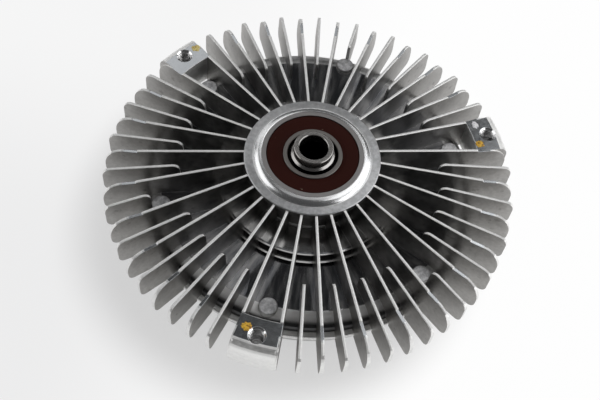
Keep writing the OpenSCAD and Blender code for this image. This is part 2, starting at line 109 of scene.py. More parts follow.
# %% A socket with operators
class Wire:
    """One output of a node, with operators that add Math nodes."""

    def __init__(self, graph, socket):
        self.graph = graph
        self.socket = socket

    def output(self, name):
        """Another output of the same node."""
        return Wire(self.graph, self.socket.node.outputs[name])

    def __add__(self, other):
        return self.graph.maths("ADD", self, other)

    def __radd__(self, other):
        return self.graph.maths("ADD", other, self)

    def __sub__(self, other):
        return self.graph.maths("SUBTRACT", self, other)

    def __rsub__(self, other):
        return self.graph.maths("SUBTRACT", other, self)

    def __mul__(self, other):
        return self.graph.maths("MULTIPLY", self, other)

    def __rmul__(self, other):
        return self.graph.maths("MULTIPLY", other, self)

    def __truediv__(self, other):
        return self.graph.maths("DIVIDE", self, other)

    def __rtruediv__(self, other):
        return self.graph.maths("DIVIDE", other, self)

    def __pow__(self, other):
        return self.graph.maths("POWER", self, other)

    def __abs__(self):
        return self.graph.maths("ABSOLUTE", self)

    def __neg__(self):
        return 0 - self


# %% A graph of nodes
class Graph:
    """A node tree, with one method that adds any node."""

    def __init__(self, tree, shader=None):
        self.tree = tree
        self.shader = tree.nodes[shader] if shader else None

    def node(self, kind, settings=None, inputs=None, output=0):
        """Adds one node: its settings first, then the values or links of its sockets."""
        made = self.tree.nodes.new(kind)
        for key, value in (settings or {}).items():
            setattr(made, key, value)
        for key, value in (inputs or {}).items():
            self.join(made.inputs[key], value)
        return Wire(self, made.outputs[output]) if len(made.outputs) else None

    def join(self, socket, value):
        """Links a wire to a socket, or sets the socket's own value."""
        if isinstance(value, Wire):
            self.tree.links.new(value.socket, socket)
        elif socket.type == "RGBA":
            socket.default_value = (*value, 1.0)
        else:
            socket.default_value = value

    def set(self, **sockets):
        """Sets or links the shader's own sockets, named with _ for a space."""
        for key, value in sockets.items():
            self.join(self.shader.inputs[key.replace("_", " ")], value)

    def maths(self, operation, *values):
        return self.node("ShaderNodeMath", {"operation": operation}, dict(enumerate(values)))

    def vector(self, x, y, z):
        return self.node("ShaderNodeCombineXYZ", inputs={0: x, 1: y, 2: z})

    def split(self, vector):
        first = self.node("ShaderNodeSeparateXYZ", inputs={0: vector})
        return [first.output(axis) for axis in "XYZ"]

    def span(self, x, y):
        """Length of a flat vector."""
        return (x * x + y * y) ** 0.5


# %% [markdown]
# ## Tools for a finish
#
# Every finish here starts from the position of the point that is shaded, in the object's own coordinates. A mask is
# a number between 0 and 1 that says how much of a finish a point has. `step`, `above`, `below` and `band` make masks
# from positions, and `blend` mixes two colours by a mask.

# %% A material with masks
class Finish(Graph):
    """A material built on one Principled shader."""

    def __init__(self, name):
        self.material = bpy.data.materials.new(name)
        self.material.use_nodes = True
        super().__init__(self.material.node_tree, "Principled BSDF")
        self.place = self.node("ShaderNodeTexCoord", output="Object")
        self.x, self.y, self.z = self.split(self.place)

    def noise(self, vector, scale, detail=3.0, rough=0.6):
        inputs = {"Vector": vector, "Scale": scale, "Detail": detail, "Roughness": rough}
        return self.node("ShaderNodeTexNoise", inputs=inputs)

    def step(self, value, low, high):
        """0 below low, 1 above high and a smooth rise between."""
        inputs = {"Value": value, "From Min": low, "From Max": high}
        return self.node("ShaderNodeMapRange", {"interpolation_type": "SMOOTHSTEP"}, inputs)

    def above(self, value, limit, soft):
        return self.step(value, limit - soft, limit + soft)

    def below(self, value, limit, soft):
        return 1 - self.above(value, limit, soft)

    def band(self, value, low, high, soft):
        return self.above(value, low, soft) * self.below(value, high, soft)

    def blend(self, amount, a, b):
        """Mixes two colours. A Mix node keeps colours in sockets 6 and 7 and gives output 2."""
        return self.node("ShaderNodeMix", {"data_type": "RGBA"}, {0: amount, 6: a, 7: b}, output=2)

    def blend_vectors(self, amount, a, b):
        """Mixes two vectors. A Mix node keeps vectors in sockets 4 and 5 and gives output 1."""
        return self.node("ShaderNodeMix", {"data_type": "VECTOR"}, {0: amount, 4: a, 5: b}, output=1)

    def bump(self, height, strength, distance, **more):
        inputs = {"Height": height, "Strength": strength, "Distance": distance, **more}
        return self.node("ShaderNodeBump", inputs=inputs)


def grey(value):
    return (value, value, value)


print("node tools ready")

# %% [markdown]
# ## Cast aluminium
#
# The two castings are die-cast and blasted: a pale grey metal with a fine grain and soft cloudy stains. Some faces
# of the rear one are machined afterwards. Both carry painted shade on the flanks of their fins, and the rear one
# more painted shade and painted highlights. One material serves the whole casting: it starts from the cast skin,
# and then each zone is found by its height, radius and slope and laid over what is there.

# %% Casting with layers
class Casting(Finish):
    """Cast metal whose colour, roughness and normal are laid on zone by zone."""

    def __init__(self, name):
        super().__init__(name)
        self.radius = self.span(self.x, self.y)
        # Shares of the normal: up, away from the axis, and 1 where it has nothing along the rim
        nx, ny, self.up = self.split(self.node("ShaderNodeTexCoord", output="Normal"))
        self.outward = (nx * self.x + ny * self.y) / self.radius
        self.revolved = self.step(self.outward * self.outward + self.up * self.up, 0.5, 0.8)
        # Noises from coarse to fine
        self.clouds = self.noise(self.place, 55.0, 4.0)
        self.mottle = self.step(self.noise(self.place, 420.0, 4.0, 0.65), 0.3, 0.7)
        self.grain = self.noise(self.place, 2600.0, 2.0)
        self.metal = 1.0
        # Rounded edges
        self.normal = self.node("ShaderNodeBevel", {"samples": 6}, {"Radius": 0.3 * MM})

    def coat(self, mask, colour=None, rough=None):
        """Lays a colour, a roughness or both over what is there, where the mask is 1."""
        if colour is not None:
            self.colour = self.blend(mask, self.colour, colour)
        if rough is not None:
            self.rough = self.rough * (1 - mask) + mask * rough

    def tilt(self, mask, out, along=0.0, up=1.0):
        """Leans the shaded face out from the axis and along the rim, where the mask is 1."""
        cos, sin = self.x / self.radius, self.y / self.radius
        lean = self.vector(cos * out - sin * along, sin * out + cos * along, up)
        to_world = {"vector_type": "NORMAL", "convert_from": "OBJECT", "convert_to": "WORLD"}
        lean = self.node("ShaderNodeVectorTransform", to_world, {0: lean})
        lean = self.node("ShaderNodeVectorMath", {"operation": "NORMALIZE"}, {0: lean})
        self.normal = self.blend_vectors(mask, self.normal, lean)


# %% Cast skin
def cast_skin(f):
    """First layer: pale tops and rims; flanks painted darker as shade, with stains and patchy painted shade at the
    hub.
    """
    stains = f.step(f.noise(f.place, 230.0, 2.0, 0.5), 0.64, 0.74)
    patches = f.step(f.noise(f.place, 42.0), 0.40, 0.60)
    inner = 1 - f.step(f.radius, 46 * MM, 98 * MM)
    # Painted shade: the flanks of the fins are darker than the tops; the stains are the metal's own
    shaded_sides = f.blend(f.mottle * 0.6 + f.clouds * 0.4, (0.44, 0.43, 0.415), (0.63, 0.62, 0.605))
    shaded_sides = f.blend(stains * 0.35, shaded_sides, (0.12, 0.11, 0.10))
    # Painted shade that deepens towards the hub and is lighter in patches
    shade = inner * (0.62 - 0.42 * patches) + 0.14 - 0.14 * patches
    shaded_sides = f.blend(shade, shaded_sides, (0.05, 0.05, 0.052))
    rim = f.step(abs(f.outward), 0.6, 0.8) * f.step(f.radius, 60 * MM, 62 * MM)
    top = f.maths("MAXIMUM", f.step(f.up, 0.35, 0.7), rim)
    tops = f.blend(f.mottle, (0.90, 0.90, 0.89), (0.98, 0.98, 0.97))
    f.colour = f.blend(top, shaded_sides, tops)
    f.rough = 0.30 + 0.08 * f.clouds + 0.10 * f.mottle + 0.12 * top
    f.relief = f.grain * 0.6 + f.mottle * 0.5


# %% [markdown]
# ## The drum below the fins
#
# The floor between the fins is smooth from the die and mirrors the room, with faint streaks along the radius, and is
# painted dark as shade. It has a step whose wall is painted dark as shade and whose two edges carry a painted
# highlight, and a rounded shoulder at its rim, painted dark as shade at its foot and with a painted highlight on its
# near side. Below the shoulder a flange meets the front cover. The rounded edges are too narrow to model, so their
# painted highlight is a bright band whose normal is tilted.

# %% Floor and step
STREAKS_AROUND = 22.0
STREAKS_ALONG = 60.0


def drum_floor(f):
    """Smooth streaky metal on the drum, painted dark as shade between the fins, and paler at the hub."""
    cos, sin = f.x / f.radius, f.y / f.radius
    stretched = f.vector(cos * STREAKS_AROUND, sin * STREAKS_AROUND, f.radius * STREAKS_ALONG)
    streaks = f.step(f.noise(stretched, 1.0, 4.0), 0.34, 0.66)
    floor = f.step(f.up, 0.5, 0.8) * f.below(f.z, step_top_z + 1.5 * MM, 0.2 * MM)
    floor = floor * f.below(f.radius, drum_r + 0.1 * MM, 0.1 * MM)
    at_hub = f.below(f.radius, step_r - 1.4 * MM, 0.2 * MM)
    # Painted shade: the floor's metal is dark, for the deep gaps between the fins
    shaded_drum_metal = f.blend(streaks, (0.15, 0.155, 0.17), (0.34, 0.34, 0.345))
    f.coat(floor, f.blend(at_hub, shaded_drum_metal, grey(0.60)), 0.09 + 0.07 * streaks)
    f.relief = f.relief * (1 - 0.92 * floor)


def floor_step(f):
    """Wall painted dark as shade, between two edges with a painted highlight."""
    wall = f.band(f.radius, step_r - 1.3 * MM, step_r + 1.1 * MM, 0.1 * MM)
    wall = wall * f.band(f.z, step_foot_z, step_top_z, 0.2 * MM) * f.step(f.outward, 0.8, 0.95)
    # Painted shade on the wall of the step
    f.coat(wall, (0.07, 0.068, 0.066))
    upper = f.band(f.radius, step_r - 0.75 * MM, step_r - 0.1 * MM, 0.05 * MM)
    upper = upper * f.band(f.z, step_top_z - 0.6 * MM, step_top_z + 0.7 * MM, 0.1 * MM)
    lower = f.band(f.radius, step_r + 0.45 * MM, step_r + 1.35 * MM, 0.05 * MM)
    lower = lower * f.below(f.z, step_foot_z + 0.1 * MM, 0.1 * MM)
    # Painted highlight on both rounded edges: a bright band whose normal leans out to catch the lamps
    edges = (upper + lower) * f.revolved
    f.coat(edges, (0.97, 0.97, 0.96), 0.2)
    f.tilt(edges, out=0.24, up=0.97)


# %% Shoulder, flange and bosses
def drum_shoulder(f):
    """Foot painted dark as shade, grey crown, painted highlight on its near side; gives the highlight's mask."""
    shoulder = f.band(f.radius, drum_r - 7.8 * MM, drum_r + 0.2 * MM, 0.4 * MM)
    shoulder = shoulder * f.below(f.z, boss_z - 1.0 * MM, 0.2 * MM) * f.revolved
    crown = f.above(f.z, boss_z - 3.2 * MM, 1.0 * MM)
    # Painted highlight: the crown is bright on the near side only, and less metallic there
    wear_and_highlight = f.step(-f.y, 0.60 * drum_r, 0.80 * drum_r) * crown * shoulder
    crown_metal = f.blend(f.mottle, grey(0.44), grey(0.62))
    # Painted shade: the foot of the shoulder is near black below the grey crown
    f.coat(shoulder * 0.95, f.blend(crown, (0.035, 0.035, 0.037), crown_metal))
    f.coat(wear_and_highlight, grey(0.96))
    f.coat(shoulder, rough=0.34 + 0.08 * f.mottle)
    return wear_and_highlight


def cover_flange(f):
    """Blasted top and a smoother rim; gives the mask of the top."""
    flange = f.band(f.radius, drum_r + 0.1 * MM, drum_r + 3.0 * MM, 0.1 * MM)
    flange = flange * f.below(f.z, boss_z - 7.8 * MM, 0.1 * MM)
    rim = f.step(f.outward, 0.6, 0.8)
    f.coat(flange, f.blend(f.mottle, (0.86, 0.86, 0.85), (0.95, 0.95, 0.94)), 0.5 - 0.28 * rim)
    return flange * (1 - rim)


def round_bosses(f):
    """Mottled tops of the bosses."""
    boss = f.band(f.z, boss_z - 0.45 * MM, boss_z + 0.2 * MM, 0.05 * MM) * f.step(f.up, 0.4, 0.6)
    boss = boss * f.above(f.radius, drum_r - 11.9 * MM, 0.1 * MM)
    f.coat(boss, f.blend(f.mottle, (0.36, 0.36, 0.37), (0.74, 0.74, 0.75)), 0.48)


# %% [markdown]
# ## Machined faces
#
# The ring around the hub is turned, so its normal swings with the radius and the ring glitters in fine grooves. The
# collar inside it is rolled over the bearing and polished by the tool. The fan pads and the ends of the long fins
# are faced in one cut, and each pad has a tapped hole with a bright chamfer.

# %% Ring and collar
GROOVE_PITCH = 0.37 * MM


def turned_ring(f):
    """Grey metal with fine grooves around the hub."""
    ring = f.band(f.radius, collar_r, ring_r + 1.0 * MM, 0.2 * MM)
    ring = ring * f.band(f.z, ring_z - 0.6 * MM, ring_z + 0.3 * MM, 0.05 * MM)
    metal = f.blend(f.mottle, (0.42, 0.425, 0.435), (0.60, 0.605, 0.615))
    f.coat(ring, metal, 0.34 + 0.10 * f.grain)
    grooves = f.maths("SINE", f.radius * (2 * math.pi / GROOVE_PITCH))
    f.tilt(ring * f.step(f.up, 0.90, 0.985), out=grooves * 0.15 + 0.08)


def rolled_collar(f):
    """Polished metal above the ring; gives its mask."""
    collar = f.above(f.z, ring_z + 0.15 * MM, 0.1 * MM)
    f.coat(collar, (0.84, 0.845, 0.855), 0.24)
    return collar


# %% Lands and tapped holes
def machined_lands(f):
    """Flat faces at the pads' height; gives their mask."""
    land = f.step(f.up, 0.992, 0.998) * f.band(f.z, pad_z - 0.12 * MM, pad_z + 0.12 * MM, 0.03 * MM)
    land = land * f.above(f.radius, land_in_r + 0.15 * MM, 0.15 * MM)
    f.coat(land, f.blend(f.clouds, (0.44, 0.46, 0.48), (0.58, 0.60, 0.62)), 0.13 + 0.05 * f.mottle)
    return land


def from_hole(f):
    """Distance from the axis of the nearest tapped hole."""
    places = [(fan_circle_r * math.cos(a), fan_circle_r * math.sin(a)) for a in PADS.values()]
    nearest, *others = [f.span(f.x - px, f.y - py) for px, py in places]
    for other in others:
        nearest = f.maths("MINIMUM", nearest, other)
    return nearest


def tapped_holes(f, hole):
    """Bright chamfers and darker bores; gives the chamfers' mask."""
    mouth = f.below(hole, fan_tap_r + 1.1 * MM, 0.05 * MM)
    mouth = mouth * f.band(f.z, pad_z - 0.9 * MM, pad_z - 0.05 * MM, 0.04 * MM)
    f.coat(mouth, (0.92, 0.92, 0.93), 0.12)
    bore = f.below(hole, fan_tap_r + 0.15 * MM, 0.05 * MM) * f.below(f.z, pad_z - 1.025 * MM, 0.075 * MM)
    f.coat(bore, grey(0.40), 0.14)
    return mouth


# %% [markdown]
# ## Crests of the fins, and both castings
#
# The top edge of a fin is rounded by the die, so it catches light from a wide range of directions. The solid has it
# square. The angle around the axis, wrapped at the pitch of the fins, tells how far a point is from the middle of
# its fin, and the normal leans over by that distance. Blasted crests also scatter light, so they are less metallic.

# %% Crests
# Half a fin's thickness, and how much a crest leans out along the fin
CREST_HALF = 0.8 * MM
CREST_FALL = 0.146
# Lean across the fin for each metre from its middle, and the reach of a pad, which has no crests
CREST_LEAN = 0.8 / (0.6 * MM)
PAD_REACH = 11.2 * MM


def fin_crests(f, hole, land):
    """Rounds the top edges of the fins; gives their mask."""
    around = f.maths("WRAP", f.maths("ARCTAN2", f.y, f.x), FIN_STEP / 2, -FIN_STEP / 2)
    across = around * f.radius
    crest = f.step(f.up, 0.6, 0.8) * f.above(f.z, boss_z + 2.2 * MM, 0.2 * MM)
    crest = crest * f.below(abs(across), CREST_HALF, 0.05 * MM)
    crest = crest * f.above(f.radius, ring_r + 0.8 * MM, 0.2 * MM)
    crest = crest * f.above(hole, PAD_REACH, 0.2 * MM) * (1 - land)
    f.tilt(crest, out=CREST_FALL, along=across * CREST_LEAN)
    return crest


# %% Both castings
def machine(f):
    """Lays the machined zones, painted shade and painted highlights over the cast skin, from the floor up."""
    drum_floor(f)
    wear_and_highlight = drum_shoulder(f)
    floor_step(f)
    flange = cover_flange(f)
    round_bosses(f)
    turned_ring(f)
    collar = rolled_collar(f)
    land = machined_lands(f)
    hole = from_hole(f)
    mouth = tapped_holes(f, hole)
    crest = fin_crests(f, hole, land)
    f.relief = f.relief * (1 - 0.9 * (land + collar + mouth))
    # Crests and the flange's top are blasted; the painted highlight on the shoulder's near crown is less metallic
    # too
    f.metal = 1 - 0.6 * crest - 0.7 * flange - 0.9 * wear_and_highlight


def cast_aluminium(name, machined):
    f = Casting(name)
    cast_skin(f)
    if machined:
        machine(f)
    f.set(Base_Color=f.colour, Roughness=f.rough, Metallic=f.metal)
    f.set(Normal=f.bump(f.relief, 0.25, 0.08 * MM, Normal=f.normal))
    return f.material


castings = {"rear_housing": cast_aluminium("cast_aluminium_rear", True),
            "front_cover": cast_aluminium("cast_aluminium_cover", False)}
print("castings:", {name: len(made.node_tree.nodes) for name, made in castings.items()}, "nodes")

# %% [markdown]
# ## Steel, rubber and plated parts
#
# Turned and ground steel shows fine rings around its axis. They are made from the radius and the height, so they
# run around the part wherever it is cut. Rubber is dull, with a little dust. Plated fasteners and pressed sheet
# have a cloudy sheen.

# %% Turned steel finish
OIL_FILM = (0.3, 0.2, 0.1)
GAP_SHADE_COLOUR = (0.006, 0.005, 0.005)


def turned_steel(name, colour, rough, pitch, axis=(0.0, 0.0), film=0.15, gap_shade_zone=None):
    """Steel with rings around an axis, an oily film, and painted shade, near black, below a height and inside a
    radius.
    """
    f = Finish(name)
    radius = f.span(f.x - axis[0], f.y - axis[1])
    rings = f.noise(f.vector(radius / pitch, f.z / pitch, 0.0), 1.0, 2.0)
    clouds = f.noise(f.place, 160.0)
    base = f.blend(clouds * film, colour, OIL_FILM)
    base = f.blend(rings * 0.35, base, [c * 0.7 for c in colour])
    if gap_shade_zone:
        top, reach = gap_shade_zone
        # Painted shade: near black in the gap between the shaft and the bearing's inner ring
        gap_shade_mask = f.below(f.z, top, 0.1 * MM) * f.below(radius, reach, 0.1 * MM)
        base = f.blend(gap_shade_mask, base, GAP_SHADE_COLOUR)
    f.set(Base_Color=base, Metallic=1.0, Roughness=rough + 0.12 * rings + 0.08 * clouds)
    f.set(Normal=f.bump(rings, 0.25, 0.03 * MM))
    return f.material


# %% Plated and rolled sheet finish
def sheet_metal(name, colour, tint, rough, streak):
    """Cloudy metal with rolling lines along X; a smaller streak makes longer lines."""
    f = Finish(name)
    clouds = f.noise(f.place, 220.0, 4.0)
    lines = f.noise(f.vector(f.x * streak, f.y * 2500.0, f.z * 2500.0), 1.0)
    f.set(Base_Color=f.blend(clouds, colour, tint), Metallic=1.0)
    f.set(Roughness=rough + 0.15 * clouds + 0.1 * lines)
    f.set(Normal=f.bump(lines, 0.2, 0.03 * MM))
    return f.material


# %% Rubber finish
def moulded_rubber(name, colour, dust, rough):
    """Dull rubber or polymer with a fine grain, faint smears around the axis and specks of dust."""
    f = Finish(name)
    grain = f.noise(f.place, 3000.0, 2.0)
    around = f.vector(f.span(f.x, f.y) * 700.0, f.x * 90.0, f.y * 90.0)
    smear = f.noise(around, 1.0)
    specks = f.step(f.noise(f.place, 620.0, 1.0, 0.5), 0.78, 0.82)
    f.set(Base_Color=f.blend(specks * 0.6 + smear * 0.01, colour, dust), Specular_IOR_Level=0.08)
    f.set(Roughness=rough + 0.15 * smear)
    f.set(Normal=f.bump(grain, 0.2, 0.05 * MM))
    return f.material


# %% Mix the finishes
pin_low, pin_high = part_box("control_pin")
pin_axis = [(pin_low[i] + pin_high[i]) / 2 for i in range(2)]
# Painted shade in the gap around the shaft, below the bearing's top and inside the inner ring's bore
ring_gap_shade_zone = (bearing_top - 0.35 * MM, 12.9 * MM)
shaft_gap_shade_zone = (bearing_top - 0.1 * MM, 13.0 * MM)

bearing_steel = turned_steel("bearing_steel", (0.36, 0.355, 0.36), rough=0.32, pitch=0.12 * MM)
inner_steel = turned_steel("inner_ring_steel", (0.24, 0.235, 0.23), rough=0.34, pitch=0.12 * MM, gap_shade_zone=ring_gap_shade_zone)
shaft_steel = turned_steel(
    "shaft_steel", (0.46, 0.455, 0.45), rough=0.16, pitch=0.25 * MM, film=0.2, gap_shade_zone=shaft_gap_shade_zone)
rotor_metal = turned_steel("rotor_aluminium", (0.70, 0.70, 0.69), rough=0.32, pitch=0.3 * MM, film=0.05)
pin_steel = turned_steel("pin_steel", (0.58, 0.58, 0.60), rough=0.22, pitch=0.1 * MM, axis=pin_axis)
zinc = sheet_metal("zinc_plate", (0.62, 0.63, 0.64), (0.72, 0.71, 0.66), rough=0.28, streak=200.0)
plate_sheet = sheet_metal("divider_sheet", (0.55, 0.54, 0.52), (0.66, 0.65, 0.62), rough=0.32, streak=60.0)
spring_sheet = sheet_metal("spring_sheet", (0.42, 0.44, 0.50), grey(0.58), rough=0.26, streak=60.0)
strip_metal = sheet_metal("bimetal_sheet", (0.62, 0.50, 0.34), (0.70, 0.62, 0.50), rough=0.30, streak=40.0)
brown_rubber = moulded_rubber("brown_rubber", (0.030, 0.0052, 0.0032), (0.35, 0.28, 0.22), rough=0.5)
black_rubber = moulded_rubber("black_rubber", (0.015, 0.015, 0.016), grey(0.2), rough=0.5)
cage_polymer = moulded_rubber("cage_polymer", (0.03, 0.03, 0.032), grey(0.15), rough=0.4)
print("materials:", len(bpy.data.materials))

# %% Give every solid its finish
finishes = {
    **castings,
    "rotor": rotor_metal, "input_shaft": shaft_steel, "control_pin": pin_steel,
    "bearing_outer_ring": bearing_steel, "bearing_inner_ring": inner_steel, "bearing_balls": bearing_steel,
    "bearing_cage": cage_polymer, "bearing_seal_rear": brown_rubber, "bearing_seal_front": brown_rubber,
    "cover_seal": black_rubber, "pin_seal": black_rubber, "front_seal_lip": black_rubber,
    "cover_screws": zinc, "plate_screws": zinc, "wiper_rivets": zinc, "leaf_rivets": zinc,
    "bracket_rivets": zinc, "strip_brackets": zinc, "front_seal_case": zinc,
    "divider_plate": plate_sheet, "wiper_block": plate_sheet,
    "valve_leaf": spring_sheet, "rotor_snap_ring": spring_sheet, "bimetal_strip": strip_metal,
}
for name, material in finishes.items():
    slots = nodes[name].data.materials
    slots.clear()
    slots.append(material)
print("finishes:", len(finishes), "of", len(nodes), "solids")

# %% [markdown]
# ## Bimetal strip
#
# The strip on the front cover bows as it warms, and the control pin follows its middle. A rigid solid can't bow;
# here the strip is made as two halves that meet under the pin, each cut across into short lengths, and left
# straight.

# %% Strip in two halves
STRIP_LENGTHS = 22
STRIP_BEVEL = 0.12 * MM


def add_object(name, data):
    made = bpy.data.objects.new(name, data)
    scene.collection.objects.link(made)
    return made


def mesh_piece(name, shape, material):
    """Turns a finished bmesh into an object with one material."""
    mesh = bpy.data.meshes.new(name)
    shape.to_mesh(mesh)
    shape.free()
    mesh.materials.append(material)
    return add_object(name, mesh)


def cut_bar(low, high, meeting_x):
    """A bar with bevelled edges, except where it meets the other half, cut across into short lengths."""
    bar = bmesh.new()
    bmesh.ops.create_cube(bar, size=1.0)
    bmesh.ops.scale(bar, vec=high - low, verts=bar.verts)
    bmesh.ops.translate(bar, vec=(low + high) / 2, verts=bar.verts)
    outer = [e for e in bar.edges if any(abs(v.co.x - meeting_x) > 0.1 * MM for v in e.verts)]
    bmesh.ops.bevel(bar, geom=outer, offset=STRIP_BEVEL, segments=2, affect="EDGES")
    for i in range(1, STRIP_LENGTHS):
        cut = low.x + (high.x - low.x) * i / STRIP_LENGTHS
        everything = bar.verts[:] + bar.edges[:] + bar.faces[:]
        bmesh.ops.bisect_plane(bar, geom=everything, plane_co=(cut, 0.0, 0.0), plane_no=(1.0, 0.0, 0.0))
    return bar


def strip_half(name, side):
    low, high = (Vector(corner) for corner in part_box("bimetal_strip"))
    middle = (low + high) / 2
    if side < 0:
        high.x = middle.x
    else:
        low.x = middle.x
    piece = mesh_piece(name, cut_bar(low, high, middle.x), strip_metal)
    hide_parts("bimetal_strip")
    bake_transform(piece)
    return piece


halves = [strip_half("bimetal_half_left", -1), strip_half("bimetal_half_right", 1)]
print("bimetal halves:", [len(half.data.polygons) for half in halves], "faces")

# %% [markdown]
# ## Tapped threads in the fan pads
#
# The fan is held by bolts in three tapped holes. The solid has plain holes, so the thread is a ridge that climbs
# around the wall. Geometry Nodes sweep a small square along a spiral, squash it to the flank angle of a thread, put
# a copy in each hole and turn the result into plain mesh. The sizes are named inputs, set before the first run.

# %% One thread
SPIRAL_POINTS = 28
RIDGE_CORNERS = 4


def one_thread(g, given):
    """A spiral swept by a square on its corner; squashing it restores the depth and flattens the flanks."""
    squash, bore = given.output("Squash"), given.output("Hole radius")
    spiral = g.node("GeometryNodeCurveSpiral", inputs={
        "Resolution": SPIRAL_POINTS, "Rotations": given.output("Turns"), "Start Radius": bore,
        "End Radius": bore, "Height": given.output("Depth") / squash})
    ridge = g.node("GeometryNodeCurvePrimitiveCircle", inputs={
        "Resolution": RIDGE_CORNERS, "Radius": given.output("Ridge")})
    sweep = g.node("GeometryNodeCurveToMesh", inputs={
        "Curve": spiral, "Profile Curve": ridge, "Fill Caps": True})
    return g.node("GeometryNodeTransform", inputs={
        "Geometry": sweep, "Scale": g.vector(1.0, 1.0, squash)})


# %% A copy in each hole
def hole_points(g, given):
    circle = g.node("GeometryNodeMeshCircle", inputs={
        "Vertices": len(PADS), "Radius": given.output("Circle radius")})
    return g.node("GeometryNodeTransform", inputs={
        "Geometry": circle, "Translation": g.vector(0.0, 0.0, given.output("Floor")),
        "Rotation": (0.0, 0.0, PADS["right"])})


def thread_tree(sizes, material):
    """Builds the tree, and gives it with the identifier of each named input."""
    g = Graph(bpy.data.node_groups.new("tapped_threads", "GeometryNodeTree"))
    keys = {}
    for name, size in sizes.items():
        socket = g.tree.interface.new_socket(name, in_out="INPUT", socket_type="NodeSocketFloat")
        socket.default_value = size
        keys[name] = socket.identifier
    g.tree.interface.new_socket("Geometry", in_out="OUTPUT", socket_type="NodeSocketGeometry")
    given = g.node("NodeGroupInput")
    copies = g.node("GeometryNodeInstanceOnPoints", inputs={
        "Points": hole_points(g, given), "Instance": one_thread(g, given)})
    real = g.node("GeometryNodeRealizeInstances", inputs={"Geometry": copies})
    coated = g.node("GeometryNodeSetMaterial", inputs={"Geometry": real, "Material": material})
    g.node("NodeGroupOutput", inputs={"Geometry": coated})
    return g.tree, keys


def piece_from_tree(name, tree, keys, sizes):
    """Runs a tree on an empty mesh and keeps the result as a plain mesh object."""
    seed = add_object(name + "_seed", bpy.data.meshes.new(name + "_seed"))
    modifier = seed.modifiers.new("tree", "NODES")
    modifier.node_group = tree
    for key, value in sizes.items():
        modifier[keys[key]] = value
    made = seed.evaluated_get(bpy.context.evaluated_depsgraph_get())
    mesh = bpy.data.meshes.new_from_object(made)
    bpy.data.objects.remove(seed)
    return add_object(name, mesh)


# %% Cut the threads
THREAD_PITCH = 1.25 * MM
pad_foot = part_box("rear_housing")[0][2] + 0.5 * MM
thread_depth = pad_z - pad_foot - 1.8 * MM
thread_sizes = {
    "Hole radius": fan_tap_r, "Circle radius": fan_circle_r, "Floor": pad_foot + 0.5 * MM,
    "Depth": thread_depth, "Turns": round(thread_depth / THREAD_PITCH), "Ridge": 0.5 * MM, "Squash": 0.58,
}
thread_metal = turned_steel("thread_cut", grey(0.90), rough=0.10, pitch=0.2 * MM, film=0.02)
tree, keys = thread_tree(thread_sizes, thread_metal)
threads = piece_from_tree("fan_threads", tree, keys, thread_sizes)
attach(threads, "casing")
print("threads:", thread_sizes["Turns"], "turns,", len(threads.data.polygons), "faces")

# %% [markdown]
# ## Paint dabs on the pads
#
# Inspection marks are dabbed on by hand, so they have uneven rims and a domed middle. Each is a small disc whose rim
# wanders with a fixed random seed, raised in the middle by a fraction of a millimetre.

# %% Paint finish
def dab_paint(name, colour, wear_and_highlight):
    f = Finish(name)
    wear = f.noise(f.place, 900.0)
    f.set(Base_Color=f.blend(f.step(wear, 0.46, 0.62), colour, wear_and_highlight))
    f.set(Roughness=0.35 + 0.2 * wear)
    f.set(Normal=f.bump(wear, 0.4, 0.08 * MM))
    return f.material


# %% Dab mesh
RIM_POINTS = 24
RIM_WANDER = 0.22
DOME = [(1.0, 0.0), (0.9, 0.10 * MM), (0.6, 0.16 * MM), (0.25, 0.18 * MM)]


def dab_loops(shape, centre, length, width, angle, seed):
    """Rings of points from the rim to the top of the dome."""
    chance = random.Random(seed)
    rims = [1.0 + chance.uniform(-RIM_WANDER, RIM_WANDER) for _ in range(RIM_POINTS)]
    turned = Matrix.Rotation(angle, 3, "Z")
    loops = []
    for share, height in DOME:
        loop = []
        for i, rim in enumerate(rims):
            a = 2 * math.pi * i / RIM_POINTS
            flat = Vector((length * math.cos(a), width * math.sin(a), 0.0)) * (rim * share / 2)
            loop.append(shape.verts.new(centre + turned @ flat + Vector((0.0, 0.0, height))))
        loops.append(loop)
    return loops


def paint_dab(name, centre, length, width, angle, seed, material):
    shape = bmesh.new()
    loops = dab_loops(shape, centre, length, width, angle, seed)
    for outer, inner in zip(loops, loops[1:]):
        for i in range(RIM_POINTS):
            j = (i + 1) % RIM_POINTS
            shape.faces.new((outer[i], outer[j], inner[j], inner[i]))
    shape.faces.new(loops[-1])
    shape.faces.new(list(reversed(loops[0])))
    for face in shape.faces:
        face.smooth = True
    piece = mesh_piece(name, shape, material)
    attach(piece, "casing")
    return piece


# %% Dab the pads
DAB_LIFT = 0.01 * MM
yellow = dab_paint("yellow_paint", (0.86, 0.52, 0.05), (0.30, 0.12, 0.006))
pale_yellow = dab_paint("pale_yellow_paint", (0.80, 0.68, 0.28), (0.50, 0.34, 0.08))
white = dab_paint("white_paint", (0.95, 0.95, 0.97), (0.70, 0.70, 0.74))

DABS = [
    # name, pad, place out from the axis and along the rim, length and width in mm, angle, seed, paint
    ("dab_near", "near", 92.8, -5.7, 4.8, 4.4, 0.2, 3, yellow),
    ("dab_left", "left", 95.6, -7.9, 4.6, 4.2, 0.6, 5, pale_yellow),
    ("dab_right", "right", 89.4, -5.2, 4.4, 4.6, 1.2, 8, yellow),
    ("dab_right_white", "right", 91.2, 6.9, 4.8, 3.2, 1.9, 11, white),
]


def on_pad(pad, out, along):
    """A point on a pad's top face: out from the axis and along the rim."""
    a = PADS[pad]
    out_way = Vector((math.cos(a), math.sin(a), 0.0))
    rim_way = Vector((-math.sin(a), math.cos(a), 0.0))
    return out_way * out + rim_way * along + Vector((0.0, 0.0, pad_z + DAB_LIFT))


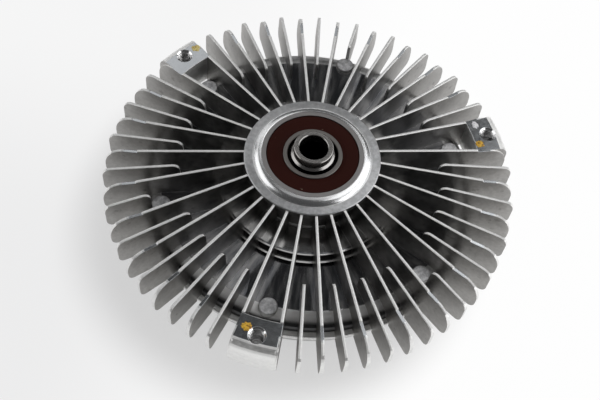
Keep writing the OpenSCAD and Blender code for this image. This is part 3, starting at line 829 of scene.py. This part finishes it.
for name, pad, out, along, length, width, angle, seed, paint in DABS:
    paint_dab(name, on_pad(pad, out * MM, along * MM), length * MM, width * MM, angle, seed, paint)
print("paint dabs:", [dab[0] for dab in DABS])

# %% [markdown]
# ## White table
#
# The table has two sides to it: white paint, which takes the shadow of the lamps, and a white glow, which never
# goes grey. One factor mixes them. The camera sees almost only glow, except around the clutch, where the painted
# shadow comes through. Reflections see the glow too, but it fades under the clutch, as a table does in the shade.
# The glow is a little dimmer to the left, and dimmest at the near left: painted shade on the table.

# %% Table glow
# Metres from the middle of the shade, which lies a little to the near left of the clutch
SHADE_X, SHADE_Y = -0.014, -0.012
SHADE_IN, SHADE_OUT = 0.087, 0.120
BEHIND = (0.02, 0.09)
NEAR_TO_FAR = (-0.07, 0.03)
# Metres from the axis
FIRST_RISE = (0.07, 0.12)
SECOND_RISE = (0.115, 0.17)


def camera_share(f, x, y, left):
    """Share of the glow that the camera sees: less in the shade, and least behind the clutch."""
    shade = 1 - f.step(f.span(x, y), SHADE_IN, SHADE_OUT)
    behind = f.step(y, *BEHIND)
    return 0.98 - (0.46 - 0.10 * left) * shade - 0.16 * shade * behind


def mirror_share(f, y):
    """Share of the glow that reflections see: it rises in two steps away from the clutch."""
    radius = f.span(f.x, f.y)
    first = 0.6 - 0.22 * f.step(y, *NEAR_TO_FAR)
    return first * f.step(radius, *FIRST_RISE) + (1 - first) * f.step(radius, *SECOND_RISE)


# %% Table
TABLE_SIZE = 6.0
LEFT_FALL = (-0.06, 0.10)
NEAR_FALL = (-0.06, 0.10)


def white_table():
    f = Finish("white_table")
    grain = f.noise(f.place, 8.0, 2.0, 0.5)
    f.set(Base_Color=f.blend(grain, grey(0.86), grey(0.88)), Roughness=0.7)
    x, y = f.x - SHADE_X, f.y - SHADE_Y
    left = f.step(-x, *LEFT_FALL)
    near_left = left * (1 - f.step(y, *NEAR_FALL))
    # Painted shade: the glow dims to the left, and most at the near left
    pale = f.blend(left * 0.5 + near_left * 0.5, grey(1.0), (0.85, 0.85, 0.853))
    glow = f.node("ShaderNodeEmission", inputs={"Color": pale, "Strength": 1.0})
    camera_ray = f.node("ShaderNodeLightPath", output="Is Camera Ray")
    mirrors = camera_ray.output("Is Glossy Ray") + camera_ray.output("Is Transmission Ray")
    mirror_ray = f.maths("MINIMUM", mirrors, 1.0)
    share = camera_ray * camera_share(f, x, y, left) + mirror_ray * mirror_share(f, y)
    paint = Wire(f, f.shader.outputs[0])
    mixed = f.node("ShaderNodeMixShader", inputs={0: share, 1: paint, 2: glow})
    f.join(f.tree.nodes["Material Output"].inputs["Surface"], mixed)
    return f.material


bpy.ops.mesh.primitive_plane_add(size=TABLE_SIZE)
table = bpy.context.object
table.name = "table"
table.data.materials.append(white_table())
print("table:", TABLE_SIZE, "m wide")

# %% [markdown]
# ## Soft boxes and room
#
# Metal shows its surroundings more than its own colour. Wide boxes low at the left and the right light the sides of
# the fins. Smaller ones high at the back are what the collar and the flat faces mirror, and the dark gaps between
# the boxes draw the dark bands in the metal. The room is dim, and only the camera sees it as white.

# %% Soft boxes
SOFT_BOXES = [
    # name, azimuth and elevation in degrees, distance, width and height in metres, glow of the face
    ("soft_box_right", 50, 48, 1.3, 0.66, 0.60, 1.20),
    ("soft_box_right_high", 10, 60, 1.3, 0.95, 0.60, 1.20),
    ("soft_box_right_top", 71, 66, 1.3, 0.26, 0.38, 0.90),
    ("soft_box_right_low", 8, 24, 1.3, 1.90, 0.85, 1.60),
    ("soft_box_left_low", 186, 30, 1.3, 1.30, 0.95, 1.20),
    ("soft_box_left_back", 138, 22, 1.3, 0.55, 0.75, 0.75),
    ("soft_box_left", 122, 47, 1.3, 0.42, 0.60, 0.75),
    ("soft_box_back", 75, 35, 1.5, 0.40, 0.25, 1.30),
    ("soft_box_back_dim", 95, 46.5, 1.5, 0.50, 0.20, 0.60),
    ("soft_box_top", 110, 88, 1.3, 0.90, 0.60, 0.35),
]


def soft_box(name, azimuth, elevation, distance, width, height, glow):
    """A rectangular lamp that faces the clutch; its power follows from the wanted glow of its face."""
    lamp = bpy.data.lights.new(name, "AREA")
    lamp.shape = "RECTANGLE"
    lamp.size = width
    lamp.size_y = height
    lamp.energy = glow * math.pi * width * height
    a, e = math.radians(azimuth), math.radians(elevation)
    place = Vector((math.cos(a) * math.cos(e), math.sin(a) * math.cos(e), math.sin(e))) * distance
    box = add_object(name, lamp)
    box.location = place
    box.rotation_euler = (-place).to_track_quat("-Z", "Y").to_euler()
    return box


lamps = [soft_box(*values) for values in SOFT_BOXES]
print("lamps:", len(lamps))

# %% Room
ROOM_LIGHT = 0.06
ROOM_WHITE = 0.92

world = bpy.data.worlds.new("dim_room")
world.use_nodes = True
room = Graph(world.node_tree, "Background")
room_seen = room.node("ShaderNodeLightPath", output="Is Camera Ray")
room.set(Color=grey(1.0), Strength=ROOM_LIGHT + ROOM_WHITE * room_seen)
scene.world = world
print("room light", ROOM_LIGHT, "and", ROOM_LIGHT + ROOM_WHITE, "to the camera")

# %% [markdown]
# ## Camera
#
# The photograph was solved as a pinhole view: the distance from the hub, the direction, and three small turns that
# aim the frame. The lens follows from the focal length in pixels and the 600 pixel frame on a 36 mm sensor.

# %% Camera
FRAME_W = 600
FOCAL_PX = 964.4
SENSOR_MM = 36.0
CAMERA_DISTANCE = 0.4771
CAMERA_AZIMUTH = 7.96
CAMERA_ELEVATION = 55.53
PAN, TILT, ROLL = 0.366, -2.702, -8.187


def camera_axes(ahead):
    """Right, up and forward of a level camera, turned by pan, tilt and roll."""
    right = ahead.cross(Vector((0.0, 0.0, 1.0))).normalized()
    up = right.cross(ahead)
    turn = Matrix.Rotation(math.radians(PAN), 3, up)
    ahead, right = turn @ ahead, turn @ right
    turn = Matrix.Rotation(math.radians(TILT), 3, right)
    ahead, up = turn @ ahead, turn @ up
    turn = Matrix.Rotation(math.radians(ROLL), 3, ahead)
    return turn @ right, turn @ up, ahead


def aimed_camera():
    a, e = math.radians(CAMERA_AZIMUTH), math.radians(CAMERA_ELEVATION)
    hub = Vector((0.0, 0.0, ring_z))
    back = Vector((math.sin(a) * math.cos(e), -math.cos(a) * math.cos(e), math.sin(e)))
    right, up, ahead = camera_axes(-back)
    data = bpy.data.cameras.new("camera")
    data.sensor_width = SENSOR_MM
    data.lens = FOCAL_PX * SENSOR_MM / FRAME_W
    data.clip_start = 0.01
    camera = add_object("camera", data)
    camera.matrix_world = Matrix((right, up, -ahead)).transposed().to_4x4()
    camera.location = hub + CAMERA_DISTANCE * back
    return camera


camera = aimed_camera()
scene.camera = camera
scene.view_settings.view_transform = "Standard"
print("lens", round(camera.data.lens, 2), "eye", [round(v, 4) for v in camera.location])
